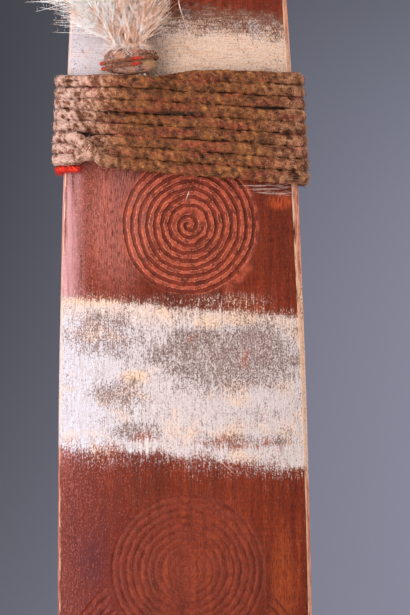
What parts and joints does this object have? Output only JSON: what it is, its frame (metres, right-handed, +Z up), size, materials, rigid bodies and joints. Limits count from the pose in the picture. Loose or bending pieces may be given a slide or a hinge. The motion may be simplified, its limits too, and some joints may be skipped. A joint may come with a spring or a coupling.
{
  "type": "churinga",
  "caption": "Long carved and ochred wooden board with rounded ends, bound with hair string that holds a gum-set tuft of feathers and red wool.",
  "frame": {"origin": "middle of the board's flat back face", "axes": "+X across the board to the right as seen from its carved front, +Y from the carved front to the back, +Z up along the board towards the end nearer the binding"},
  "size_m": [0.1223, 0.0645, 1.04],
  "materials": {
    "ochred_wood": "satin",
    "hair_string": "matte",
    "red_wool": "matte",
    "gum": "satin",
    "feather": "matte"
  },
  "bodies": {
    "root": {"carved_board": "ochred_wood", "hair_string_binding": "hair_string", "red_wool_strand": "red_wool", "gum_wad": "gum", "red_wool_tie": "red_wool", "bare_feather_shaft": "feather", "feather_01": "feather", "feather_02": "feather", "feather_03": "feather", "feather_04": "feather", "feather_05": "feather", "feather_06": "feather", "feather_07": "feather", "feather_08": "feather", "feather_09": "feather", "feather_10": "feather", "feather_11": "feather"}
  },
  "joints": []
}
